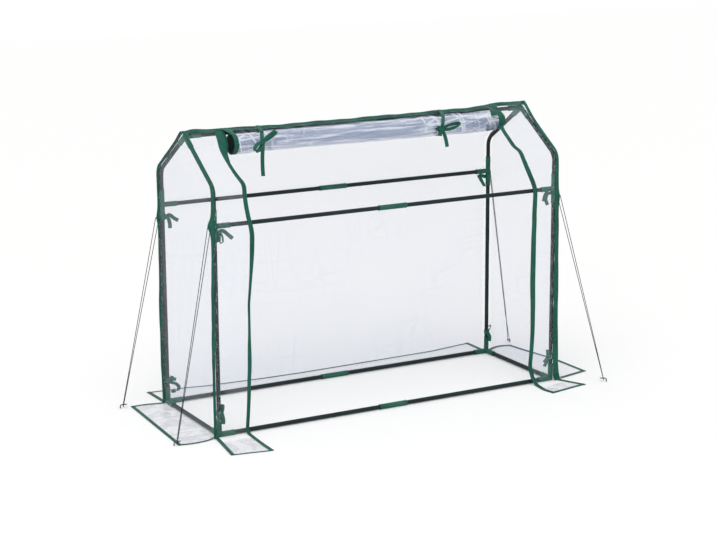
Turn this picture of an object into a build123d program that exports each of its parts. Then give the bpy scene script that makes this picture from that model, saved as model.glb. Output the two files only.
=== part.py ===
from build123d import *
import os
from math import atan2, cos, degrees, sin

# Frame, over the outsides of its sockets
frame_length = 1500.0
frame_depth = 500.0
frame_height = 1100.0
eave_height = 931.0
rafter_leg = 137.0
rafter_bend_radius = 55.0

# Tubes, and the plastic sockets that they push into
tube_diameter = 16.0
tube_wall = 0.6
socket_clearance = 0.15
socket_wall = 1.85
socket_reach = 60.0
socket_stop = 12.0
sleeve_length = 120.0
sleeve_web = 4.0

# Clear film cover
film_thickness = 0.6
film_clearance = 0.3
side_strip_width = 125.0
end_flap_reach = 160.0
long_flap_reach = 200.0
front_flap_splay = 40.0

# Sewn binding tapes
binding_thickness = 0.8
gable_binding_width = 10.0
ridge_binding_width = 16.0
door_binding_width = 16.0

# Door, rolled up under the ridge
roll_radius = 41.0
roll_drop = 70.0
roll_stand_off = 6.0
roll_end_gap = 30.3

# Ribbon ties
tie_width = 12.0
tie_thickness = 1.0
tie_knot = 6.0
bow_length = 30.0
bow_height = 13.0
bow_tail_length = 38.0
bow_spread_angle = 24.0
tail_spread_angle = 9.0
upper_tie_share = 0.65
door_tie_place = 393.0
door_tie_shift = -67.0
door_tail_length = 95.0

# Guy ropes, each doubled, and the hooked pegs that hold them
rope_diameter = 2.4
guy_drop = 14.0
guy_reach = 175.0
peg_diameter = 5.0
peg_hook_height = 14.0
peg_hook_length = 24.0
rope_end_drop = 4.0
guy_sweeps = {"front_left": 0.0, "back_left": 25.0, "front_right": 120.0, "back_right": 85.0}

# How far a cutting tool runs past the face that it opens
overrun = 1.0

# Worked out from the sizes above
tube_radius = tube_diameter / 2
bore_radius = tube_radius + socket_clearance
socket_radius = bore_radius + socket_wall
post_x = frame_length / 2 - socket_radius
post_y = frame_depth / 2 - socket_radius
base_z = socket_radius
ridge_z = frame_height - socket_radius
mid_rail_height = eave_height - rafter_leg
guy_height = mid_rail_height - guy_drop
roof_angle = atan2(ridge_z - eave_height, post_y)
film_inside = socket_radius + film_clearance
film_outside = film_inside + film_thickness
cover_half = post_x + film_inside
end_face = cover_half + film_thickness
long_face = post_y + film_outside
door_half = cover_half - side_strip_width
roll_half_length = door_half - roll_end_gap
rope_radius = rope_diameter / 2
peg_radius = peg_diameter / 2

SIDES = {"left": -1, "right": 1}
FACES = {"front": -1, "back": 1}
LOWEST = (Align.CENTER, Align.CENTER, Align.MIN)
UP = (0, 0, 1)
DOWN = (0, 0, -1)


def rod(start, direction, radius, near, far):
    """A round bar along a direction, between two distances from its start."""
    place = Plane(origin=start, z_dir=direction)
    return place * Pos(0, 0, near) * Cylinder(radius, far - near, align=LOWEST)


def tube(start, direction, near, far):
    """A straight length of frame tube, open at both ends."""
    bore = rod(start, direction, tube_radius - tube_wall, near - overrun, far + overrun)
    return rod(start, direction, tube_radius, near, far) - bore


def connector(centre, directions):
    """Sockets that run from one rounded hub, each with a seat for the end of its tube."""
    body = Pos(*centre) * Sphere(socket_radius)
    for direction in directions:
        body += rod(centre, direction, socket_radius, 0, socket_reach)
    for direction in directions:
        body -= rod(centre, direction, bore_radius, socket_stop, socket_reach + overrun)
    return body


def eave_point(offset, face):
    """The corner of the wall and roof lines, that far outside the frame's centre line."""
    rise = offset * (1 - sin(roof_angle)) / cos(roof_angle)
    return (face * (post_y + offset), eave_height + rise)


def slope_point(offset, face, distance):
    """A point that far down the roof from the top, on the line that far outside the frame's."""
    top = ridge_z + offset / cos(roof_angle)
    return (face * distance * cos(roof_angle), top - distance * sin(roof_angle))


def along_length(outline, start, end):
    """An outline across the house, carried along its length."""
    section = Plane.YZ.offset(start) * Polygon(*outline, align=None)
    return extrude(section, end - start, dir=(1, 0, 0))


def on_ground(outline):
    """A sheet of film lying on the ground."""
    return extrude(Polygon(*outline, align=None), film_thickness, dir=UP)


def gable_outline(offset, foot):
    """The end wall's five-sided outline, that far outside the frame's centre line."""
    half = post_y + offset
    return [(-half, foot), (half, foot), eave_point(offset, 1), slope_point(offset, 1, 0),
            eave_point(offset, -1)]


def skin_outline(inner, outer, face, foot, top_gap):
    """A strip up one long side and its roof slope, between two offsets from the frame."""
    return [(face * (post_y + inner), foot), (face * (post_y + outer), foot),
            eave_point(outer, face), slope_point(outer, face, top_gap),
            slope_point(inner, face, top_gap), eave_point(inner, face)]


def base_corner(side, face):
    """Three-way socket on the ground under a post."""
    centre = (side * post_x, face * post_y, base_z)
    return connector(centre, [UP, (-side, 0, 0), (0, -face, 0)])


def tee(side, face):
    """Three-way socket between a post, its rafter and the middle rail."""
    centre = (side * post_x, face * post_y, mid_rail_height)
    return connector(centre, [UP, DOWN, (-side, 0, 0)])


def ridge_corner(side):
    """Three-way socket at a gable's peak."""
    slopes = [(0, face * cos(roof_angle), -sin(roof_angle)) for face in FACES.values()]
    return connector((side * post_x, 0, ridge_z), slopes + [(-side, 0, 0)])


def post(side, face):
    """Upright tube from a base corner to its tee."""
    foot = (side * post_x, face * post_y, base_z)
    return tube(foot, UP, socket_stop, mid_rail_height - base_z - socket_stop)


def rafter(side, face):
    """Bent tube from a tee, round the eave and up to the gable's peak."""
    x = side * post_x
    y = face * post_y
    peak_back = (x, face * socket_stop * cos(roof_angle), ridge_z - socket_stop * sin(roof_angle))
    foot = (x, y, mid_rail_height + socket_stop)
    path = FilletPolyline(foot, (x, y, eave_height), peak_back, radius=rafter_bend_radius)
    section = Circle(tube_radius) - Circle(tube_radius - tube_wall)
    return sweep((path ^ 0) * section, path=path)


def end_base_rail(side):
    """Ground tube across one end."""
    start = (side * post_x, -post_y, base_z)
    return tube(start, (0, 1, 0), socket_stop, frame_depth - 2 * socket_radius - socket_stop)


def long_rail(y, z):
    """Two half tubes along the house, with their inner ends in a sleeve."""
    halves = []
    for side in SIDES.values():
        start = (side * post_x, y, z)
        halves.append(tube(start, (-side, 0, 0), socket_stop, post_x - sleeve_web / 2))
    return Compound(children=halves)


def sleeve(y, z):
    """Straight coupling, with a web that both half tubes seat on."""
    body = rod((0, y, z), (1, 0, 0), socket_radius, -sleeve_length / 2, sleeve_length / 2)
    for side in SIDES.values():
        body -= rod((0, y, z), (side, 0, 0), bore_radius, sleeve_web / 2, sleeve_length)
    return body


def wall_film():
    """Back wall panel, mitred at the eave fold."""
    outline = [(post_y + film_inside, 0), (long_face, 0),
               eave_point(film_outside, 1), eave_point(film_inside, 1)]
    return along_length(outline, -cover_half, cover_half)


def roof_film():
    """Back roof panel, mitred at the eave and at the ridge."""
    outline = [eave_point(film_inside, 1), eave_point(film_outside, 1),
               slope_point(film_outside, 1, 0), slope_point(film_inside, 1, 0)]
    return along_length(outline, -cover_half, cover_half)


def end_film(side):
    """End wall panel up to the gable's peak."""
    start = min(side * cover_half, side * end_face)
    return along_length(gable_outline(film_outside, 0), start, start + film_thickness)


def front_film(side):
    """Strip beside the door, up the front and its roof slope."""
    outline = skin_outline(film_inside, film_outside, -1, 0, 0)
    start = min(side * door_half, side * cover_half)
    return along_length(outline, start, start + side_strip_width)


def roll_axis():
    """Across and up to the rolled door's axis, from its place on the front slope."""
    across = roll_drop * cos(roof_angle) + roll_stand_off * sin(roof_angle)
    drop = roll_drop * sin(roof_angle) - roll_stand_off * cos(roof_angle)
    return (-across, ridge_z - drop)


def roll_bar(radius, start, end):
    """A round bar on the rolled door's axis."""
    return rod((0, *roll_axis()), (1, 0, 0), radius, start, end)


def head_strip(inner, outer, top_gap, start, end):
    """A flat strip from near the ridge to the rolled door's axis, on the front slope."""
    outline = [slope_point(offset, -1, distance) for offset, distance in
               [(inner, top_gap), (outer, top_gap), (outer, roll_drop), (inner, roll_drop)]]
    return along_length(outline, start, end)


def rolled_door():
    """The door's film, hanging from the ridge and rolled up."""
    head = head_strip(film_inside, film_outside, 0, -roll_half_length, roll_half_length)
    return head + roll_bar(roll_radius, -roll_half_length, roll_half_length)


def end_flap(side):
    """Skirt on the ground outside an end wall."""
    outer = side * (end_face + end_flap_reach)
    inner = side * end_face
    return on_ground([(inner, -long_face), (inner, long_face), (outer, long_face), (outer, -long_face)])


def back_flap():
    """Skirt on the ground outside the back wall."""
    outer = long_face + long_flap_reach
    return on_ground([(-cover_half, long_face), (cover_half, long_face),
                      (cover_half, outer), (-cover_half, outer)])


def front_flap(side):
    """Skirt on the ground under a front strip, splayed away from the door."""
    outer = -long_face - long_flap_reach
    near = side * door_half
    far = side * cover_half
    splay = side * front_flap_splay
    return on_ground([(near, -long_face), (far, -long_face), (far + splay, outer), (near + splay, outer)])


def gable_binding(side):
    """Tape folded over the edge between an end wall and the sides and roof."""
    foot = film_thickness + film_clearance
    tape = film_outside + binding_thickness
    lip = min(side * end_face, side * (end_face + binding_thickness))
    fold = min(side * (end_face + binding_thickness), side * (end_face - gable_binding_width))
    depth = gable_binding_width + binding_thickness
    around = along_length(gable_outline(tape, foot), fold, fold + depth)
    around -= along_length(gable_outline(film_outside, -overrun), fold - overrun, fold + depth + overrun)
    flat = along_length(gable_outline(film_outside, foot), lip, lip + binding_thickness)
    hole = gable_outline(film_outside - gable_binding_width, -overrun)
    flat -= along_length(hole, lip - overrun, lip + binding_thickness + overrun)
    return around + flat


def ridge_binding():
    """Tape folded over the ridge between the gable tapes."""
    tape = film_outside + binding_thickness
    end = end_face - gable_binding_width - film_clearance
    outline = [slope_point(film_outside, 1, 0), slope_point(film_outside, 1, ridge_binding_width),
               slope_point(tape, 1, ridge_binding_width), slope_point(tape, 1, 0),
               slope_point(tape, -1, ridge_binding_width),
               slope_point(film_outside, -1, ridge_binding_width)]
    return along_length(outline, -end, end)


def door_binding(side):
    """Tape along the door's edge, down the roof strip and the front strip."""
    foot = film_thickness + film_clearance
    outline = skin_outline(film_outside, film_outside + binding_thickness, -1, foot,
                           ridge_binding_width + film_clearance)
    start = min(side * door_half, side * (door_half + door_binding_width))
    return along_length(outline, start, start + door_binding_width)


def corner_tie(side, face, height, wrapped_radius):
    """Ribbon band round the inner side of a post, with a bow and two tails towards mid-length."""
    inner = wrapped_radius + film_clearance
    outer = inner + tie_thickness
    long_half = bow_length / 2
    high_half = bow_height / 2
    ribbon = Ellipse(long_half, high_half) - Ellipse(long_half - tie_thickness, high_half - tie_thickness)
    loop = Pos(long_half, 0, 0) * extrude(Plane.XZ * ribbon, tie_width / 2, both=True)
    tail = Pos(0, 0, -bow_tail_length / 2) * Box(tie_thickness, tie_width, bow_tail_length)
    knot = Pos(outer, 0, 0)
    bow = knot * Pos(tie_knot / 2 - tie_thickness / 2, 0, 0) * Box(tie_knot, tie_width, tie_knot)
    for turn in (-1, 1):
        bow += knot * Rot(0, turn * bow_spread_angle, 0) * loop
        lean = -tail_spread_angle * (2 + turn)
        bow += knot * Pos(tie_knot / 2, 0, 0) * Rot(0, lean, 0) * tail
    block = 2 * outer
    film_side = Rot(0, 0, 45 * side * face) * Pos(-block / 2, 0, 0) * Box(block, 2 * block, block)
    band = Cylinder(outer, tie_width) - film_side
    tie = band + bow - Cylinder(inner, block)
    facing = 90 + 90 * side
    return Pos(side * post_x, face * post_y, height) * Rot(0, 0, facing) * tie


def corner_ties():
    """Upper ties on the tees, and lower ties just above the base corners."""
    upper = mid_rail_height - socket_reach * upper_tie_share
    lower = base_z + socket_reach + tie_width
    ties = []
    for side in SIDES.values():
        for face in FACES.values():
            ties.append(corner_tie(side, face, upper, socket_radius))
            ties.append(corner_tie(side, face, lower, tube_radius))
    return Compound(children=ties)


def door_tie(place):
    """Ribbon from the ridge round the rolled door, with a hanging tail."""
    start = place - tie_width / 2
    end = place + tie_width / 2
    inner = roll_radius + film_clearance
    outer = inner + tie_thickness
    strap_inside = film_outside + binding_thickness + film_clearance
    tie = roll_bar(outer, start, end)
    tie += head_strip(strap_inside, strap_inside + tie_thickness, ridge_binding_width / 2, start, end)
    across, up = roll_axis()
    tail = Pos(place, across - outer + tie_thickness / 2, up - door_tail_length / 2)
    tie += tail * Box(tie_width, tie_thickness, door_tail_length)
    tie -= roll_bar(inner, start - overrun, end + overrun)
    tie -= head_strip(film_inside - film_clearance, film_outside + film_clearance, 0,
                      start - overrun, end + overrun)
    return tie


def door_ties():
    """Both ties of the rolled door."""
    places = [door_tie_shift + side * door_tie_place for side in SIDES.values()]
    return Compound(children=[door_tie(place) for place in places])


def guy_ends(side, face, sweep_out):
    """The top of a guy rope at the cover's corner, the head of its peg and the way between, level."""
    out = film_clearance + binding_thickness + rope_radius
    top = Vector(side * (end_face + out), face * (long_face - gable_binding_width / 2), guy_height)
    peg = Vector(side * (end_face + guy_reach), face * (long_face + sweep_out), peg_hook_height)
    level_way = Vector(peg.X - top.X, peg.Y - top.Y, 0).normalized()
    return top, peg, level_way


def guy_rope(side, face, sweep_out):
    """A taut rope, doubled, with its two strands either side of the peg's hook."""
    top, peg, level_way = guy_ends(side, face, sweep_out)
    beside = Vector(-level_way.Y, level_way.X, 0)
    hook_middle = peg - level_way * (peg_hook_length / 2) - Vector(0, 0, rope_end_drop)
    narrow = (rope_radius + film_clearance / 2) / beside.Y
    wide = peg_radius + rope_radius + film_clearance
    strands = []
    for turn in (-1, 1):
        start = top + Vector(0, turn * narrow, 0)
        way = hook_middle + beside * (turn * wide) - start
        strands.append(rod(start, way.normalized(), rope_radius, 0, way.length))
    return strands


def ground_peg(side, face, sweep_out):
    """A hooked peg's head above the ground, with its hook towards the house."""
    top, peg, level_way = guy_ends(side, face, sweep_out)
    shank = rod((peg.X, peg.Y, 0), UP, peg_radius, 0, peg_hook_height)
    hook = rod(peg, -level_way, peg_radius, 0, peg_hook_length)
    return shank + Pos(*peg) * Sphere(peg_radius) + hook


def build_nodes():
    """Every piece of the greenhouse, by node name."""
    nodes = {}
    for face_name, face in FACES.items():
        for side_name, side in SIDES.items():
            corner = f"{face_name}_{side_name}"
            nodes[f"{corner}_base_corner"] = base_corner(side, face)
            nodes[f"{corner}_post"] = post(side, face)
            nodes[f"{corner}_tee"] = tee(side, face)
            nodes[f"{corner}_rafter"] = rafter(side, face)
        nodes[f"{face_name}_base_rail"] = long_rail(face * post_y, base_z)
        nodes[f"{face_name}_mid_rail"] = long_rail(face * post_y, mid_rail_height)
    nodes["ridge_rail"] = long_rail(0, ridge_z)
    lines = [(face * post_y, z) for face in FACES.values() for z in (base_z, mid_rail_height)]
    nodes["rail_sleeves"] = Compound(children=[sleeve(y, z) for y, z in lines + [(0, ridge_z)]])
    for side_name, side in SIDES.items():
        nodes[f"{side_name}_ridge_corner"] = ridge_corner(side)
        nodes[f"{side_name}_base_rail"] = end_base_rail(side)
        nodes[f"{side_name}_end_film"] = end_film(side)
        nodes[f"front_{side_name}_film"] = front_film(side)
        nodes[f"{side_name}_ground_flap"] = end_flap(side)
        nodes[f"front_{side_name}_ground_flap"] = front_flap(side)
        nodes[f"{side_name}_gable_binding"] = gable_binding(side)
    nodes["back_wall_film"] = wall_film()
    nodes["back_roof_film"] = roof_film()
    nodes["rolled_door"] = rolled_door()
    nodes["back_ground_flap"] = back_flap()
    nodes["ridge_binding"] = ridge_binding()
    nodes["door_bindings"] = Compound(children=[door_binding(side) for side in SIDES.values()])
    nodes["corner_ties"] = corner_ties()
    nodes["door_ties"] = door_ties()
    strands = []
    pegs = []
    for face_name, face in FACES.items():
        for side_name, side in SIDES.items():
            sweep_out = guy_sweeps[f"{face_name}_{side_name}"]
            strands += guy_rope(side, face, sweep_out)
            pegs.append(ground_peg(side, face, sweep_out))
    nodes["guy_ropes"] = Compound(children=strands)
    nodes["ground_pegs"] = Compound(children=pegs)
    return nodes


print(f"roof slope {degrees(roof_angle):.2f} degrees")
os.makedirs("parts", exist_ok=True)
for name, shape in build_nodes().items():
    export_step(shape, f"parts/{name}.step")
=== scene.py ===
"""Looks of a small film greenhouse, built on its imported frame. Lengths are in metres."""
import math

import bpy
import numpy as np
from mathutils import Matrix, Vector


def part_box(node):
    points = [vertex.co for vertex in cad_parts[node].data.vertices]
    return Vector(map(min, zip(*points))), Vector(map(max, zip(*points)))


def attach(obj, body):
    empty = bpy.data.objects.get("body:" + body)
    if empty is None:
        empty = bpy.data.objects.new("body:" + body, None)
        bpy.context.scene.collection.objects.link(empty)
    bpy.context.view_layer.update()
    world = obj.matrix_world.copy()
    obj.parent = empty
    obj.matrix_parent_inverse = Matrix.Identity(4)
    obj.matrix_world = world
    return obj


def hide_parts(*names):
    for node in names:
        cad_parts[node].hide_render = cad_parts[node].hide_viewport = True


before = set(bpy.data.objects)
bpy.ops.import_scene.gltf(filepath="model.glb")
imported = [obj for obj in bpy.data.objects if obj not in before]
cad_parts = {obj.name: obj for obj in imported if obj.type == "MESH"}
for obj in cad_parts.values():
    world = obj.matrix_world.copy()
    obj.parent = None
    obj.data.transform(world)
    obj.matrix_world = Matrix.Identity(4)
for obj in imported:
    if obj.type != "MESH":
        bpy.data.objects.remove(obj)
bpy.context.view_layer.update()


def middle(node, axis):
    """Middle of a CAD node's box along one axis."""
    low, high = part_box(node)
    return (low[axis] + high[axis]) / 2


# Signs and names of the house's sides
LEFT, RIGHT, FRONT, BACK = -1, 1, -1, 1
SIDES, FACES = {LEFT: "left", RIGHT: "right"}, (FRONT, BACK)

# Places on the frame, the radii of its tubes and sockets, and the sockets' reach
POST_X = middle("front_right_post", 0)
POST_Y = middle("back_right_post", 1)
BASE_Z = middle("front_base_rail", 2)
MID_Z = middle("front_mid_rail", 2)
RIDGE_Z = middle("ridge_rail", 2)
EAVE_Z = 0.931
SLOPE = math.atan2(RIDGE_Z - EAVE_Z, POST_Y)
TUBE, SOCKET, REACH = 0.008, 0.010, 0.060

# The cover: its distance from the tubes' axes, the radii of its eave and of the fold at its foot, both also
# beside the door, its height on the ground, its skirts, and the walls of film
COVER = 0.0111
END_X, WALL_Y, RIDGE_TOP = POST_X + COVER, POST_Y + COVER, RIDGE_Z + COVER
EAVE, FOLD = 0.060, 0.010
DOOR_EAVE = {LEFT: 0.032, RIGHT: 0.075}
DOOR_FOOT = {LEFT: 0.020, RIGHT: 0.045}
LOW = 0.0012
SKIRT, FRONT_RIGHT_SKIRT, END_SKIRT = 0.200, 0.160, 0.152
FILM_WALL, ROLL_WALL = 0.0005, 0.0004
TAPE_LAP = 0.004

# The rolled door: half its length, what its film lacks at the left end, its axis, its radii and its ties'
# places
ROLL_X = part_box("rolled_door")[1][0]
ROLL_SHORT = 0.008
ROLL_AXIS = np.array([-0.0617, 1.0564])
ROLL_R, CORE_R = 0.041, 0.011
TIE_PLACES = (-0.466, 0.318)

MM = 0.001
ROUND = 2 * math.pi
UP, ALONG = np.array([0, 0, 1.0]), np.array([1.0, 0, 0])


# Shapes

def unit(v):
    """Each row of v divided by its length."""
    v = np.asarray(v, float)
    return v / np.maximum(np.linalg.norm(v, axis=-1, keepdims=True), 1e-12)


def spoke(a):
    """Steps of length 1 at angles a."""
    return np.stack([np.cos(a), np.sin(a)], -1)


def spline(points, count):
    """Catmull-Rom curve: on each span, the cubic through its two ends whose slopes are half the step between
    their neighbours."""
    p = np.asarray(points, float)
    p = np.vstack([2 * p[0] - p[1], p, 2 * p[-1] - p[-2]])
    t = np.linspace(0, len(points) - 1, count)
    k = np.minimum(t.astype(int), len(points) - 2)
    f = (t - k)[:, None]
    a, b, c, d = p[k], p[k + 1], p[k + 2], p[k + 3]
    square = (2 * a - 5 * b + 4 * c - d) * f ** 2
    return 0.5 * (2 * b + (c - a) * f + square + (3 * b - a - 3 * c + d) * f ** 3)


def smooth_table(s, pairs):
    """Values at s on the smooth curve through pairs of distance and value."""
    return np.interp(s, *spline(pairs, 40 * len(pairs)).T)


def bells(s, table):
    """Sum of bells: each row is a bell's centre, width and height."""
    c, w, h = np.asarray(table, float).T
    return (h * np.exp(-((np.asarray(s)[..., None] - c) / w) ** 2)).sum(-1)


def near(value, place, width):
    """1 at a place, falling as a bell."""
    return np.exp(-((value - place) / width) ** 2)


def most(*values):
    """The largest of several values at each place."""
    return np.maximum.reduce(np.broadcast_arrays(*values))


def folds(a, b, seed, count, spans, turns, lengths, widths, heights):
    """Soft folds on coordinates a and b: each is a bell across its own line times a longer bell along it,
    at a seeded place within spans, with a seeded turn, length, width and height."""
    rng = np.random.default_rng(seed)
    ranges = (*spans, turns, lengths, widths, heights)
    rows = np.stack([rng.uniform(*span, count) for span in ranges] + [rng.choice([-1, 1], count)], 1)
    total = np.zeros(np.broadcast(a, b).shape)
    for a0, b0, turn, length, width, height, sign in rows:
        along = (a - a0) * math.cos(turn) + (b - b0) * math.sin(turn)
        across = (b - b0) * math.cos(turn) - (a - a0) * math.sin(turn)
        total += sign * height * np.exp(-(across / width) ** 2 - (along / length) ** 2)
    return total


def above(points, low):
    """Points raised to a height where they lie below it."""
    return np.maximum(points, (-np.inf, -np.inf, low))


def travel(path):
    """Distance along a path at each of its points."""
    return np.concatenate([[0], np.cumsum(np.linalg.norm(np.diff(path, axis=0), axis=1))])


NO_FANS = np.zeros((0, 3), int), np.zeros((0, 3, 2))


def grid_part(points, u, v, wrap=False, caps=False):
    """Grid of points (rows, columns, 3) in quads. wrap joins the last column to the first, and caps closes
    the first and last rows with fans. u and v are the pattern's coordinates of the rows and columns."""
    rows, cols = points.shape[:2]
    steps = np.arange(rows - 1), np.arange(cols if wrap else cols - 1)
    i, j = (m.ravel() for m in np.meshgrid(*steps, indexing="ij"))
    k = (j + 1) % cols
    quads = np.stack([i * cols + j, i * cols + k, (i + 1) * cols + k, (i + 1) * cols + j], 1)
    corners = ((i, j), (i, j + 1), (i + 1, j + 1), (i + 1, j))
    quad_uv = np.stack([np.stack([u[m], v[n]], 1) for m, n in corners], 1)
    verts = points.reshape(-1, 3)
    if not caps:
        return verts, quads, quad_uv, *NO_FANS
    j = np.arange(cols)
    k = (j + 1) % cols
    first, far = np.full(cols, len(verts)), (rows - 1) * cols
    tris = np.concatenate([np.stack([first, k, j], 1), np.stack([first + 1, far + j, far + k], 1)])
    tri_uv = np.zeros((2 * cols, 3, 2))
    tri_uv[..., 0] = np.repeat(u[[0, -1]], cols)[:, None]
    tri_uv[:, 1, 1], tri_uv[:, 2, 1] = np.tile(v[j], 2), np.tile(v[j + 1], 2)
    return np.concatenate([verts, points[[0, -1]].mean(1)]), quads, quad_uv, tris, tri_uv


def carried(path, toward, profile, twist=None):
    """Closed profile carried along a path, its first coordinate along the part of toward that is square to
    the path and its second square to both. twist turns the profile at each point."""
    path = np.asarray(path, float)
    tangent = unit(np.gradient(path, axis=0))
    toward = np.broadcast_to(np.asarray(toward, float), path.shape)
    across = unit(toward - (toward * tangent).sum(1, keepdims=True) * tangent)
    up = np.cross(tangent, across)
    profile = np.broadcast_to(profile, (len(path),) + np.shape(profile)[-2:])
    p, q = profile[..., 0:1], profile[..., 1:2]
    if twist is not None:
        c, s = np.cos(twist)[:, None, None], np.sin(twist)[:, None, None]
        p, q = p * c - q * s, p * s + q * c
    rings = path[:, None] + p * across[:, None] + q * up[:, None]
    girth = travel(np.concatenate([profile[0], profile[0][:1]]))
    return grid_part(rings, travel(path), girth, wrap=True, caps=True)


def band(width, thick, start=None, crown=0.0):
    """Flat tape's outline with rounded edges: width along the first coordinate, from start, thick along the
    second, and its middle raised by crown."""
    low = -width / 2 if start is None else start
    high = low + width
    h = thick / 2
    edge = [(h, -h), (0.3 * h, -0.7 * h), (0, 0), (0.3 * h, 0.7 * h), (h, h)]
    rise = [(0.75, 0.75 * crown), (0.5, crown), (0.25, 0.75 * crown)]
    top = [(low + share * width, h + lift) for share, lift in rise]
    foot = [(low + share * width, lift - h) for share, lift in rise[::-1]]
    return np.array([(high - a, b) for a, b in edge] + top + [(low + a, b) for a, b in edge[::-1]] + foot)


def square_to(axis):
    """Two directions square to an axis and to each other."""
    axis = unit(axis)
    first = unit(np.cross(axis, (0.31, 0.17, 0.93) if abs(axis[2]) < 0.8 else (1, 0, 0)))
    return np.stack([first, np.cross(axis, first)])


def placed(name, data):
    """A new object in the scene."""
    made = bpy.data.objects.new(name, data)
    bpy.context.scene.collection.objects.link(made)
    return made


def build(name, parts, material, replaces=(), thick=0.0, attributes=None):
    """One mesh object from grid parts, with its pattern map and material. thick gives it a
    wall."""
    points, quads, quad_uv, tris, tri_uv = zip(*parts)
    bases = np.cumsum([0] + [len(p) for p in points])
    faces = [face for kind in (quads, tris) for f, base in zip(kind, bases) for face in (f + base).tolist()]
    pattern = np.concatenate([uv.reshape(-1, 2) for uv in quad_uv + tri_uv])
    mesh = bpy.data.meshes.new(name)
    mesh.from_pydata(np.concatenate(points).tolist(), [], faces)
    mesh.uv_layers.new(name="pattern").data.foreach_set("uv", pattern.astype(np.float32).ravel())
    for label, values in (attributes or {}).items():
        made = mesh.attributes.new(label, "FLOAT", "POINT")
        made.data.foreach_set("value", values.astype(np.float32).ravel())
    mesh.polygons.foreach_set("use_smooth", np.full(len(mesh.polygons), True))
    mesh.materials.append(material)
    mesh.update()
    piece = placed(name, mesh)
    if thick:
        wall = piece.modifiers.new("wall", "SOLIDIFY")
        wall.thickness, wall.offset = thick, 0.0
    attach(piece, "root")
    if replaces:
        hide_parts(*replaces)
    return piece


# Finishes

def feed(tree, inputs, values):
    """Links sockets, or sets plain values, on the inputs of those names."""
    for label, value in values.items():
        if isinstance(value, bpy.types.NodeSocket):
            tree.links.new(value, inputs[label])
        else:
            inputs[label].default_value = value


def add(tree, kind, inputs=None, **settings):
    """A node with its settings and inputs."""
    made = tree.nodes.new(kind)
    for label, value in settings.items():
        setattr(made, label, value)
    feed(tree, made.inputs, inputs or {})
    return made


def calc(tree, operation, *values):
    """One step of arithmetic on one, two or three values."""
    return add(tree, "ShaderNodeMath", dict(enumerate(values)), operation=operation).outputs[0]


def ramp(tree, value, low, high, to_low=0.0, to_high=1.0):
    """A value's span carried smoothly to another span."""
    spans = {"Value": value, "From Min": low, "From Max": high, "To Min": to_low, "To Max": to_high}
    return add(tree, "ShaderNodeMapRange", spans, interpolation_type="SMOOTHSTEP").outputs[0]


def noise(tree, place, scale, detail, distortion=0.0):
    """A noise pattern's value."""
    inputs = {"Vector": place, "Scale": scale, "Detail": detail, "Distortion": distortion}
    return add(tree, "ShaderNodeTexNoise", inputs).outputs[0]


def stretch(tree, place, by):
    """A place multiplied along each axis."""
    return add(tree, "ShaderNodeVectorMath", {0: place, 1: by}, operation="MULTIPLY").outputs[0]


def blend(tree, share, a, b):
    """Colour a to colour b by a share. A plain colour has three values."""
    a, b = ((*colour, 1) if isinstance(colour, tuple) else colour for colour in (a, b))
    return add(tree, "ShaderNodeMix", {"Factor": share, 6: a, 7: b}, data_type="RGBA").outputs[2]


FLOAT, VECTOR = "NodeSocketFloat", "NodeSocketVector"


def group(name, inputs, outputs):
    """An empty effect group with named sockets, and its inner ends. Its outputs are values."""
    made = bpy.data.node_groups.new(name, "ShaderNodeTree")
    for label, kind, value in inputs:
        socket = made.interface.new_socket(label, in_out="INPUT", socket_type=kind)
        if value is not None:
            socket.default_value = value
    for label in outputs:
        made.interface.new_socket(label, in_out="OUTPUT", socket_type=FLOAT)
    return made, made.nodes.new("NodeGroupInput").outputs, made.nodes.new("NodeGroupOutput").inputs


def weave_group():
    """Plain weave: two sine waves square to each other over and under, with a little unevenness."""
    inputs = [("Pattern", VECTOR, None), ("Threads", FLOAT, 900.0)]
    tree, given, out = group("ribbon_weave", inputs, ("Height", "Shade"))
    parts = add(tree, "ShaderNodeSeparateXYZ", {0: given["Pattern"]}).outputs
    turns = [calc(tree, "MULTIPLY", parts[k], given["Threads"]) for k in (0, 1)]
    waves = [calc(tree, "SINE", calc(tree, "MULTIPLY", turn, ROUND)) for turn in turns]
    over = calc(tree, "MULTIPLY", *waves)
    uneven = noise(tree, given["Pattern"], 160.0, 3.0)
    feed(tree, out, {"Height": calc(tree, "MULTIPLY_ADD", over, 0.35, uneven),
                     "Shade": ramp(tree, calc(tree, "MULTIPLY_ADD", over, 0.12, uneven), 0.25, 0.75)})
    return tree


def mottle_group():
    """Unevenness of a finish: wide soft noise and fine grain, each from 0 to 1."""
    inputs = [("Place", VECTOR, None), ("Wide", FLOAT, 9.0), ("Fine", FLOAT, 600.0)]
    tree, given, out = group("finish_mottle", inputs, ("Soft", "Grain"))
    feed(tree, out, {"Soft": ramp(tree, noise(tree, given["Place"], given["Wide"], 5.0), 0.3, 0.7),
                     "Grain": ramp(tree, noise(tree, given["Place"], given["Fine"], 2.0), 0.25, 0.75)})
    return tree


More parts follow.
